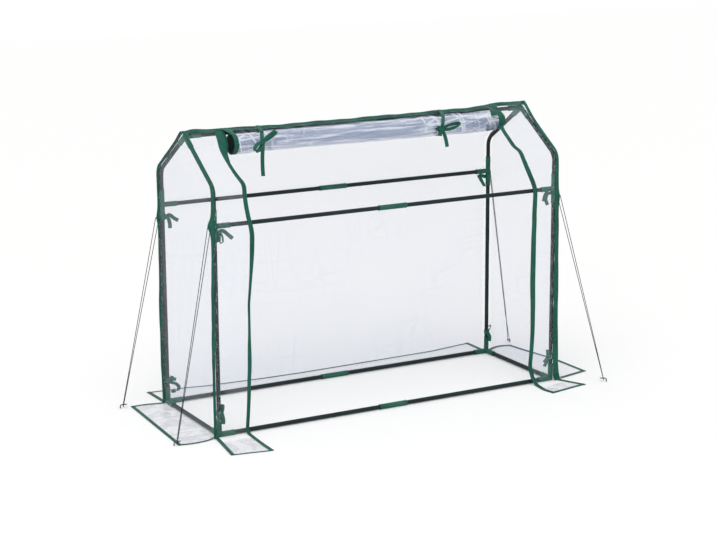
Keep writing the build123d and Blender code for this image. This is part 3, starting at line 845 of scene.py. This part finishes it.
# Distance, fin beyond the corner, leg on the long film and leg on the end film, in millimetres
GABLE_TAPES = {
    (LEFT, FRONT): [(0, 6, 5, 7), (0.12, 6, 4, 7), (0.35, 9, 3, 7), (0.55, 8, 3, 7), (0.70, 6, 5, 7),
                    (0.75, 9, 7, 6), (0.785, 19, 7, 6), (0.80, 16, 8, 6), (0.83, 7, 9, 5), (0.93, 3, 10, 4),
                    (1.0, 2, 12, 3), (1.3, 2, 12, 4)],
    (LEFT, BACK): [(0, 6, 14, 6), (0.3, 6, 14, 6), (0.5, 4, 12, 5), (0.68, 3, 11, 5), (0.73, 9, 11, 6),
                   (0.78, 3, 11, 9), (0.90, 3, 11, 11), (0.97, 5, 11, 8), (1.1, 6, 11, 5), (1.3, 5, 11, 5)],
    (RIGHT, FRONT): [(0, 5, 24, 6), (0.15, 5, 21, 6), (0.3, 5, 18, 6), (0.55, 5, 15, 5), (0.70, 6, 13, 6),
                     (0.75, 12, 13, 5), (0.79, 5, 13, 5), (0.87, 3, 13, 5), (0.93, 2, 13, 5),
                     (1.3, 3, 13, 5)],
    (RIGHT, BACK): [(0, 1.5, 9, 6), (0.70, 2, 9, 6), (0.775, 9, 9, 6), (0.83, 2, 9, 6), (1.3, 1.5, 9, 7)],
}


def gable_tape(side):
    """Bound seam of one gable: a tape with a leg on each film and both sewn together into a fin beyond the
    corner, from the front foot over the peak to the back foot. Gives the part and the lines of its
    sewing."""
    s = np.concatenate([np.linspace(-0.013, -0.001, 6), np.linspace(0.0, TOP, 240)])
    halves = []
    for face, order in ((FRONT, slice(None)), (BACK, slice(-2, None, -1))):
        table = np.asarray(GABLE_TAPES[side, face], float)
        size = np.stack([smooth_table(s, table[:, (0, k)]) * MM for k in (1, 2, 3)], 1)
        halves.append([rows[order] for rows in (*corner_path(side, face, s), size)])
    path, normal, size = (np.concatenate(whole) for whole in zip(*halves))
    far = travel(path)
    fin, long, end = (size * (1 + 0.06 * np.sin(29 * far + 2 * side) + 0.04 * np.sin(71 * far))[:, None]).T
    outline = [(0.0013, -end), (0.0013, -0.0010), (fin, -0.0006), (fin, 0.0008), (0, 0.0014), (-long, 0.0013),
               (-long, 0.0003), (0.0003, 0.0003), (0.0003, -end)]
    out, off = (np.stack(np.broadcast_arrays(*column, far)[:-1], 1)[..., None] for column in zip(*outline))
    rings = path[:, None] + out * (side * ALONG) + off * normal[:, None]
    rings = above(rings[:, ::-1] if side > 0 else rings, 0.0004)
    sewn = [path - 0.6 * long[:, None] * side * ALONG + 0.0013 * normal,
            path - 0.6 * end[:, None] * normal + 0.0013 * side * ALONG]
    sewn = [above(line, 0.0012) for line in sewn]
    return grid_part(rings, far, np.linspace(0, 0.036, 10), wrap=True, caps=True), sewn


def ridge_tape():
    """Tape folded over the ridge: a thin bent outline carried along it, with a little wander. Gives the
    part and the lines of its sewing."""
    x = np.linspace(-POST_X - 0.006, POST_X + 0.006, 200)
    wander = 0.0010 * np.sin(23 * x) + 0.0008 * np.sin(61 * x + 1.0)
    path = np.stack([x, 0.0008 * np.sin(37 * x), RIDGE_TOP + 0.0011 + wander + ridge_lift(x)], 1)
    arm, over = np.array([math.cos(SLOPE), -math.sin(SLOPE)]), np.array([math.sin(SLOPE), math.cos(SLOPE)])
    flip = np.array([-1, 1])
    leg = (0.0165 + 0.35 * ridge_lift(x))[:, None]
    high, low = arm * leg + over * 0.0006, arm * leg - over * 0.0006
    points = (low, high, (0.002, 0.0003), (0, 0.0009), (-0.002, 0.0003), high * flip, low * flip,
              (0, -0.0008))
    outline = np.stack(np.broadcast_arrays(*points), 1)
    place = arm * (leg - 0.0045) + over * 0.0008
    sewn = [path + np.column_stack([0 * x, turn * place[:, 0], place[:, 1]]) for turn in (-1, 1)]
    return carried(path, (0, 1, 0), outline), sewn


# Distance, and how much wider the left tape is there, where it meets the ridge
GUSSET = [(1.05, 0), (1.10, 0.011), (1.14, 0.026), (1.18, 0.027), (TOP, 0.024)]


def door_tape(side):
    """Tape over the strip's edge beside the door, from its skirt up the wall and roof to the ridge, a
    little domed. Gives the part and the lines of its sewing."""
    s = rows_of(STRIP_SKIRTS[side])
    edge = strip_grids[side][:, -1 if side < 0 else 0]
    n_out, n_z = on_cover(s, DOOR_LINES[side])[2:]
    normal = np.stack([0 * s, -n_out, n_z], 1)
    path = (edge + 0.0008 * normal - TAPE_LAP * side * ALONG)[:-1]
    width = smooth_table(s, DOOR_WIDTHS[side])[:-1]
    gusset = np.interp(s[:-1], *np.transpose(GUSSET)) * (side == LEFT)
    outline = np.repeat(band(1.0, 0.0016, 0.0, 0.0012)[None], len(path), 0)
    outline[..., 0] = outline[..., 0] * (width + gusset)[:, None] - width[:, None] / 2
    lines = (-0.36 * width, 0.36 * width + gusset)
    sewn = [path + place[:, None] * ALONG + 0.0012 * normal[:-1] for place in lines]
    return carried(path, ALONG, outline), sewn


WIDE_HEM, NARROW_HEM = 0.0145, 0.0085


def hem(path, inward, width):
    """Tape folded over a skirt's edge, lying on the ground."""
    verts, *rest = carried(above(path, 0.0013), inward, band(width, 0.0010, -0.0006))
    return above(verts, 0.0003), *rest


def stitches(path, pitch=0.0044, length=0.0030, size=0.0004):
    """A row of sewn stitches: small four-sided beads along a path, at even distances."""
    far = travel(path)
    at = np.arange(pitch, far[-1] - pitch, pitch)
    centre, way = (np.stack([np.interp(at, far, column) for column in rows.T], 1)
                   for rows in (path, np.gradient(path, axis=0)))
    way = unit(way)
    aside = unit(np.cross(way, (0.31, 0.83, 0.47)))
    lift = np.cross(way, aside)
    shape = np.array([(-0.5, 0), (-0.25, 1), (0.25, 1), (0.5, 0)])[:, None]
    turn = (np.arange(4) * ROUND / 4)[None, :, None]
    wide = shape[..., 1:] * size
    moves = shape[..., :1] * length, wide * np.cos(turn), wide * np.sin(turn)
    points = centre[:, None, None] + sum(m * d[:, None, None] for m, d in zip(moves, (way, aside, lift)))
    quad = grid_part(np.zeros((4, 4, 3)), np.zeros(4), np.zeros(5), wrap=True)[1]
    quads = (quad[None] + 16 * np.arange(len(at))[:, None, None]).reshape(-1, 4)
    uv = np.zeros((len(quads), 4, 2))
    uv[..., 0] = np.repeat(at, len(quad))[:, None]
    return points.reshape(-1, 3), quads, uv, *NO_FANS


def tapes():
    """All tapes of the cover, the hems of its skirts and the sewing on the tapes."""
    gables = {side: gable_tape(side) for side in SIDES}
    doors = {side: door_tape(side) for side in SIDES}
    ridge = ridge_tape()
    for side, name in SIDES.items():
        build(f"{name}_gable_tape", [gables[side][0]], TAPE, (f"{name}_gable_binding",))
    build("ridge_tape", [ridge[0]], TAPE, ("ridge_binding",))
    build("door_tapes", [part for part, _ in doors.values()], TAPE, ("door_bindings",))
    hems = []
    edges = [(back_grid, NARROW_HEM, {0: WIDE_HEM, -1: WIDE_HEM}),
             (strip_grids[LEFT], NARROW_HEM, {0: WIDE_HEM}), (strip_grids[RIGHT], WIDE_HEM, {-1: WIDE_HEM}),
             (end_grids[LEFT], WIDE_HEM, {0: NARROW_HEM, -1: NARROW_HEM}),
             (end_grids[RIGHT], WIDE_HEM, {0: WIDE_HEM, -1: WIDE_HEM})]
    for grid, outer, sides in edges:
        ground = grid[:GROUND_ROWS]
        centre = ground.reshape(-1, 3).mean(0)
        lines = [(0.0004, outer, ground[0])] + [(0.0015, width, ground[:, k]) for k, width in sides.items()]
        for over, width, edge in lines:
            inward = unit(centre - edge.mean(0)) * np.array([1, 1, 0])
            hems.append(hem(edge + over * UP, inward, width))
    build("skirt_hems", hems, TAPE)
    rows = [line for part in (*gables.values(), *doors.values(), ridge) for line in part[1]]
    build("tape_stitches", [stitches(line) for line in rows], THREAD)


tapes()


# Ribbons

RIBBON_WIDTH, RIBBON_WALL = 0.0145, 0.0009


def ribbon(points, across, count=44):
    """A ribbon on the smooth curve through points, its width along the smooth curve of the across
    directions."""
    outline = band(RIBBON_WIDTH, RIBBON_WALL, crown=0.0005)
    return carried(spline(points, count), spline(across, count), outline)


def loop_round(centre, radius, tilt):
    """A ribbon wound once round a post: a circle about its axis, leaning by a tilt along it."""
    a = np.linspace(0, ROUND, 40)
    path = centre + radius * spoke(a) @ square_to(UP) + tilt * np.sin(a + 0.7)[:, None] * UP
    return carried(path, UP, band(0.0135, 0.0010))


def knot(centre, way, size):
    """A ribbon's knot: a fat ring of ribbon, wider than it is long, about the ribbon's way."""
    a = np.linspace(0, ROUND, 22)
    around = (0.62, 0.8) * spoke(a) @ square_to(way) + 0.10 * np.sin(2 * a)[:, None] * unit(way)
    return carried(centre + size * around, way, band(1.15 * size, 0.0022))


def bow(centre, axes, loops, tails, seed):
    """Loops and tails from one knot, in millimetres along local axes: each loop goes out on one side of its
    opening to its tip and back on the other, each tail goes through its points, and both turn a little by
    seed."""
    rng = np.random.default_rng(seed)
    parts = []
    for tip, opening, lean in loops:
        tip, opening = np.asarray(tip, float), np.asarray(opening, float)
        local = np.array([0 * tip, 0.45 * tip + opening, 0.92 * tip + 0.7 * opening, 1.05 * tip,
                          0.92 * tip - 0.7 * opening, 0.45 * tip - opening, 0 * tip])
        local[1:-1] += rng.normal(0, 0.8, (5, 3))
        parts.append(ribbon(centre + MM * local @ axes, np.tile(np.asarray(lean, float) @ axes, (7, 1))))
    for points, lean in tails:
        local = np.concatenate([np.zeros((1, 3)), np.asarray(points, float)])
        spread = unit(np.asarray(lean, float) @ axes) + rng.normal(0, 0.10, (len(local), 3))
        parts.append(ribbon(centre + MM * local @ axes, spread))
    return parts


# Height, loops (tip, opening, lean) and tails (points, lean); local axes run to mid-length, to the front,
# and up
UPPER_TIES = {
    (LEFT, FRONT): (0.774, [((15, 2, -40), (8, 0, 4), (0.8, -0.65, -0.2))],
                    [([(20, 2, 0), (36, 3, -13), (56, 3, -31)], (0.45, 0.1, 0.9)),
                     ([(3, 3, -12), (2, 3, -26), (1, 3, -38)], (1, 0.2, 0))]),
    (LEFT, BACK): (0.746, [],
                   [([(14, 3, 6), (32, 4, -8), (49, 4, -19)], (0.4, 0.1, 0.9)),
                    ([(8, 4, -7), (13, 5, -25), (15, 4, -46)], (1, 0.4, 0))]),
    (RIGHT, FRONT): (0.776, [],
                     [([(14, 2, 6), (27, 2, -5), (35, 2, -30)], (0.9, -0.3, 0.35)),
                      ([(14, 3, 2), (25, 3, -17), (23, 3, -30), (16, 3, -46)], (0.9, -0.2, 0.2))]),
    (RIGHT, BACK): (0.769, [],
                    [([(14, 3, 8), (27, 4, 3), (24, 5, -9), (14, 5, -25), (5, 4, -40)], (0.7, -0.35, 0.6)),
                     ([(14, 3, 6), (27, 3, 8), (39, 3, 2)], (0.1, 0, 1))]),
}
LOWER_TIES = {
    (LEFT, FRONT): (0.090, [((1, 2, 33), (4, 0, 0), (0.5, 0.8, 0))],
                    [([(2, 3, -10), (5, 3, -28), (3, 3, -42)], (0.9, 0.4, 0))]),
    (LEFT, BACK): (0.094, [],
                   [([(4, 4, -9), (20, 5, -15), (33, 5, -30), (27, 5, -44), (14, 5, -47), (2, 5, -42)],
                     (0.6, 0.5, 0.6)),
                    ([(10, 4, 3), (23, 4, 2)], (0.1, 0.1, 1)), ([(4, 4, 8), (8, 4, 17)], (1, 0.4, 0))]),
    (RIGHT, FRONT): (0.099, [],
                     [([(9, 2, -6), (22, 3, -19)], (0.6, -0.2, 0.8)),
                      ([(6, 3, -13), (20, 3, -36)], (0.8, -0.3, 0.5)),
                      ([(3, 2, 12), (5, 3, 33)], (1, -0.4, 0))]),
    (RIGHT, BACK): (0.092, [((-2, 8, 30), (-5, 1, 0), (0.5, 0.4, 0))],
                    [([(-2, 5, -8), (-5, 7, -20), (-4, 6, -37)], (1, -0.4, 0))]),
}


def corner_ties():
    """Ties of the four posts, near the tees and near the feet: two turns of ribbon, a knot, loops and
    tails."""
    parts = []
    levels = ((UPPER_TIES, SOCKET + RIBBON_WALL), (LOWER_TIES, TUBE + RIBBON_WALL))
    for level, (ties, radius) in enumerate(levels):
        for (side, face), (height, loops, tails) in ties.items():
            seed = 100 + 10 * level + 2 * side + face
            post = np.array([side * POST_X, face * POST_Y, height])
            axes = np.array([(-side, 0, 0), (0, -1, 0), (0, 0, 1)], float)
            inward = axes[1] if ties is LOWER_TIES and (side, face) == (RIGHT, BACK) else axes[0]
            centre = post + inward * (radius + 0.003)
            parts.append(loop_round(post, radius, 0.003 + 0.0015 * (seed % 3)))
            parts.append(loop_round(post + 0.004 * UP, radius + 0.0011, -0.004))
            parts.append(knot(centre, axes[1] * 0.4 + axes[2], 0.0072))
            parts += bow(centre, axes, loops, tails, seed)
    build("post_ties", parts, RIBBON, ("corner_ties",))


# Place at the ridge, place and height of the knot, loops and tails; local axes run along, to the front, and
# up
ROLL_TIES = [
    (-0.443, -0.478, 1.061,
     [((47, 12, 37), (-2, 0, 3), (-0.55, -0.3, 0.76)), ((-32, 7, -28), (7, 0, -7), (0.4, 0.6, -0.4))],
     [([(-2, 6, -14), (-5, 7, -48), (-6, 8, -88), (-3, 6, -126)], (1, 0.4, 0))]),
    (0.355, 0.298, 1.047,
     [((74, 8, 14), (-2, 0, 9), (0, 0.45, 0.9)), ((-22, 8, 6), (1, 0, 4), (0.1, 0.3, 0.9))],
     [([(8, 6, -14), (17, 7, -40), (25, 6, -71)], (1, 0.4, 0)),
      ([(-6, 6, -10), (-9, 7, -26)], (1, 0.4, 0.2))]),
]


def roll_ties():
    """Ties round the rolled door: a strap from the ridge over the roll, a slanting turn round it, a knot in
    front with loops and tails that hang."""
    parts = []
    a = 1.64 + np.linspace(0, ROUND, 60)
    circle = ROLL_AXIS + ROLL_R * spoke(a)
    axes = np.array([(1, 0, 0), (0, -1, 0), (0, 0, 1)], float)
    strap = band(RIBBON_WIDTH, 0.0011)
    for seed, (ridge, front, height, loops, tails) in enumerate(ROLL_TIES):
        tied = math.pi - math.asin((height - ROLL_AXIS[1]) / ROLL_R)
        x = ridge + (front - ridge) * np.interp(a, [a[0], tied, a[-1]], [0.45, 1.0, 0.45])
        shaped = rolled(x, circle)[np.arange(len(a)), np.arange(len(a))]
        shaped[:, 1:] += 0.0018 * unit(shaped[:, 1:] - ROLL_AXIS)
        top = [ridge, 0.004, RIDGE_TOP + 0.0030 + ridge_lift(ridge)]
        over = np.linspace(top, shaped[0] + 0.0006 * UP, 24)
        over[:, 2] += 0.001 * np.sin(np.linspace(0, math.pi, 24))
        parts += [carried(path, ALONG, strap) for path in (shaped, over)]
        centre = shaped[np.argmin(np.abs(a - tied))] + np.array([0, -0.004, 0])
        parts.append(knot(centre, (0.2, 0, 1), 0.0115))
        parts += bow(centre, axes, loops, tails, 200 + seed)
    build("roll_ties", parts, RIBBON, ("door_ties",))


corner_ties()
roll_ties()


# Ropes and pegs

# Sweep of the peg, height and stand of the top, and half the gap between the strands at the top
GUYS = {(LEFT, FRONT): (0.0, 0.790, 0.015, 0.0060), (LEFT, BACK): (0.025, 0.736, 0.006, 0.0072),
        (RIGHT, FRONT): (0.120, 0.758, 0.008, 0.0068), (RIGHT, BACK): (0.085, 0.782, 0.007, 0.0020)}
PEG_X, PEG_Y, PEG_TOP = POST_X + 0.1859, POST_Y + 0.0109, 0.014
PEG_R, PEG_BEND, PEG_TIP = 0.0022, 0.007, 0.020
EYE_R = 0.0030


def twisted(path, radius=0.0016, lay=0.016):
    """Three-strand rope: a three-lobed outline that turns once in each lay as it is carried along a path."""
    a = np.arange(12) * ROUND / 12
    outline = (radius * (0.86 + 0.14 * np.cos(3 * a)))[:, None] * spoke(a)
    return carried(path, (0.3, 1, 0.2), outline, twist=travel(path) * ROUND / lay)


def peg_head(peg, level, beside):
    """A peg's head: a rod up from the ground, round a bend and along to a narrowed tip, back towards the
    house."""
    bend = PEG_BEND * spoke(np.linspace(0, math.pi / 2, 14))
    corner = peg - PEG_BEND * UP - (PEG_BEND - bend[:, :1]) * level + bend[:, 1:] * UP
    foot = np.linspace([peg[0], peg[1], 0.0004], corner[0], 5)[:-1]
    tip = np.linspace(corner[-1], corner[-1] - level * PEG_TIP, 6)[1:]
    path = np.concatenate([foot, corner, tip])
    size = np.full(len(path), PEG_R)
    size[-2:] *= 0.95, 0.6
    return carried(path, beside, spoke(np.arange(14) * ROUND / 14) * size[:, None, None])


def guys():
    """Doubled taut ropes from eyes in the corners' fins to hooked pegs: two straight strands that come
    together on the way, an arch through the eye and another under the hook, a worked ring round each eye,
    and the pegs' heads."""
    ropes, eyes, pegs = [], [], []
    half, whole = (spoke(np.linspace(*span)) for span in ((-math.pi / 2, math.pi / 2, 24), (0, ROUND, 25)))
    for (side, face), (sweep, height, stand, wide) in GUYS.items():
        reach = corner_out(side, face, height - LOW - FOLD)
        top = np.array([side * (END_X + reach + stand), face * (WALL_Y + 0.001), height])
        peg = np.array([side * PEG_X, face * (PEG_Y + sweep), PEG_TOP])
        level = unit((peg - top) * np.array([1, 1, 0]))
        beside = np.array([-level[1], level[0], 0])
        hook = peg - level * 0.012 - 0.003 * UP
        under = beside * 0.0039
        for turn in (-1, 1):
            start, end = top + ALONG * turn * wide, hook + under * turn
            joined = 0.18 * top + 0.82 * hook + ALONG * turn * 0.0018
            strand = [np.linspace(start, joined, 240), np.linspace(joined, end, 180)[1:]]
            ropes.append(twisted(np.concatenate(strand)))
        ropes.append(twisted(hook + half @ np.array([-0.0046 * UP, under])))
        ropes.append(twisted(top + half @ np.array([0.009 * UP, wide * ALONG])))
        eye = top + np.array([0, 0.0002 * face, 0.006]) + EYE_R * whole @ np.array([ALONG, UP])
        eyes.append(carried(eye, (0, 1, 0), band(0.0034, 0.0014)))
        pegs.append(peg_head(peg, level, beside))
    build("guy_lines", ropes, ROPE, ("guy_ropes",))
    build("guy_eyes", eyes, TAPE)
    build("peg_heads", pegs, PEG_PAINT, ("ground_pegs",))


guys()


# Sockets' mouths and the frame's finishes

# Along the socket from its mouth, and out from its surface
BEAD = np.array([(-0.0046, -0.0002), (-0.0040, 0.0004), (-0.0024, 0.0006), (-0.0008, 0.0005), (0.0002, 0.0),
                 (0.0002, -0.0012), (-0.0046, -0.0012)])
TUBES = ("post", "rafter", "rail")
SOCKETS = ("base_corner", "tee", "ridge_corner", "rail_sleeves")


def collars():
    """A rounded bead at the mouth of each socket: a half-round outline carried round the socket's axis."""
    mouths = []
    for side in SIDES:
        for face in FACES:
            post = (side * POST_X, face * POST_Y)
            mouths += [((*post, BASE_Z), way) for way in ((0, 0, 1), (-side, 0, 0), (0, -face, 0))]
            mouths += [((*post, MID_Z), way) for way in ((0, 0, 1), (0, 0, -1), (-side, 0, 0))]
        slopes = [(0, face * math.cos(SLOPE), -math.sin(SLOPE)) for face in FACES]
        mouths += [((side * POST_X, 0, RIDGE_Z), way) for way in (*slopes, (-side, 0, 0))]
    rails = [(face * POST_Y, z) for face in FACES for z in (BASE_Z, MID_Z)] + [(0, RIDGE_Z)]
    mouths += [((0, y, z), (turn, 0, 0)) for y, z in rails for turn in (-1, 1)]
    circle = spoke(np.linspace(0, ROUND, 25)[:-1])
    along, out = BEAD[:, None, :1], BEAD[:, None, 1:]
    parts = []
    for centre, way in np.array(mouths, float):
        points = centre + (REACH + along) * way + (SOCKET + out) * (circle @ square_to(way))
        pattern = np.linspace(0, 0.012, 7), np.linspace(0, 0.063, 25)
        parts.append(grid_part(above(points, 0.0002), *pattern, wrap=True))
    build("socket_beads", parts, SOCKET_PLASTIC)


collars()

for name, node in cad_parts.items():
    if name.endswith(TUBES + SOCKETS):
        for slot in node.material_slots:
            slot.material = PAINT if name.endswith(TUBES) else SOCKET_PLASTIC


# Stage, light and camera

def stage(size=14.0):
    """A wide pale floor."""
    line = np.linspace(-size, size, 3)
    x, y = np.meshgrid(line, line)
    verts, quads = grid_part(np.stack([x, y, 0 * x], -1), line, line)[:2]
    mesh = bpy.data.meshes.new("floor")
    mesh.from_pydata(verts.tolist(), [], quads.tolist())
    floor = placed("floor", mesh)
    made, tree, surface, _ = finish("floor_white")
    feed(tree, surface, {"Base Color": (0.94, 0.94, 0.935, 1), "Roughness": 0.9, "Specular IOR Level": 0.0})
    mesh.materials.append(made)


def lights():
    """A pale world, white where it is seen, one wide sun-like lamp and a smaller softbox for glints."""
    world = bpy.data.worlds.new("studio")
    bpy.context.scene.world = world
    world.use_nodes = True
    tree = world.node_tree
    path = tree.nodes.new("ShaderNodeLightPath").outputs
    mirrored = calc(tree, "MAXIMUM", path["Is Glossy Ray"], path["Is Transmission Ray"])
    seen = calc(tree, "MAXIMUM", path["Is Camera Ray"], mirrored)
    strength = add(tree, "ShaderNodeMapRange", {"Value": seen, "To Min": 0.72, "To Max": 1.0}).outputs[0]
    feed(tree, tree.nodes["Background"].inputs, {"Color": (1, 1, 1, 1), "Strength": strength})
    sun = bpy.data.lights.new("wide_lamp", "SUN")
    sun.energy, sun.angle = 1.2, math.radians(60)
    placed("wide_lamp", sun).rotation_euler = (math.radians(24), math.radians(-16), 0)
    box = bpy.data.lights.new("softbox", "AREA")
    box.shape, box.size, box.size_y, box.energy = "RECTANGLE", 1.4, 0.9, 12.0
    turned = Matrix.Rotation(math.radians(-43), 4, "Z") @ Matrix.Rotation(math.radians(50), 4, "X")
    placed("softbox", box).matrix_world = Matrix.Translation((-2.4, -2.6, 3.0)) @ turned


# The photograph's width in pixels, its camera's focal length in pixels, and the sensor's width in millimetres
PHOTO_WIDTH, FOCAL, SENSOR = 716.0, 1818.2, 36.0


def camera():
    """Camera at the photograph's place: turned, tipped down and rolled a little."""
    turn, tip, roll = np.radians([-28.811, 12.9876, -0.3538])
    back = np.array([math.sin(turn) * math.cos(tip), -math.cos(turn) * math.cos(tip), math.sin(tip)])
    right = np.array([math.cos(turn), math.sin(turn), 0])
    up = np.cross(back, right)
    across = math.cos(roll) * right + math.sin(roll) * up
    rise = -math.sin(roll) * right + math.cos(roll) * up
    data = bpy.data.cameras.new("camera")
    data.sensor_width, data.lens = SENSOR, FOCAL * SENSOR / PHOTO_WIDTH
    made = placed("camera", data)
    place = np.column_stack([across, rise, back, (-3.377, -6.1057, 2.1086)])
    made.matrix_world = Matrix(np.vstack([place, (0, 0, 0, 1)]).tolist())
    bpy.context.scene.camera = made


stage()
lights()
camera()
bpy.context.scene.view_settings.view_transform = "Standard"
bpy.context.scene.cycles.transparent_max_bounces = 64
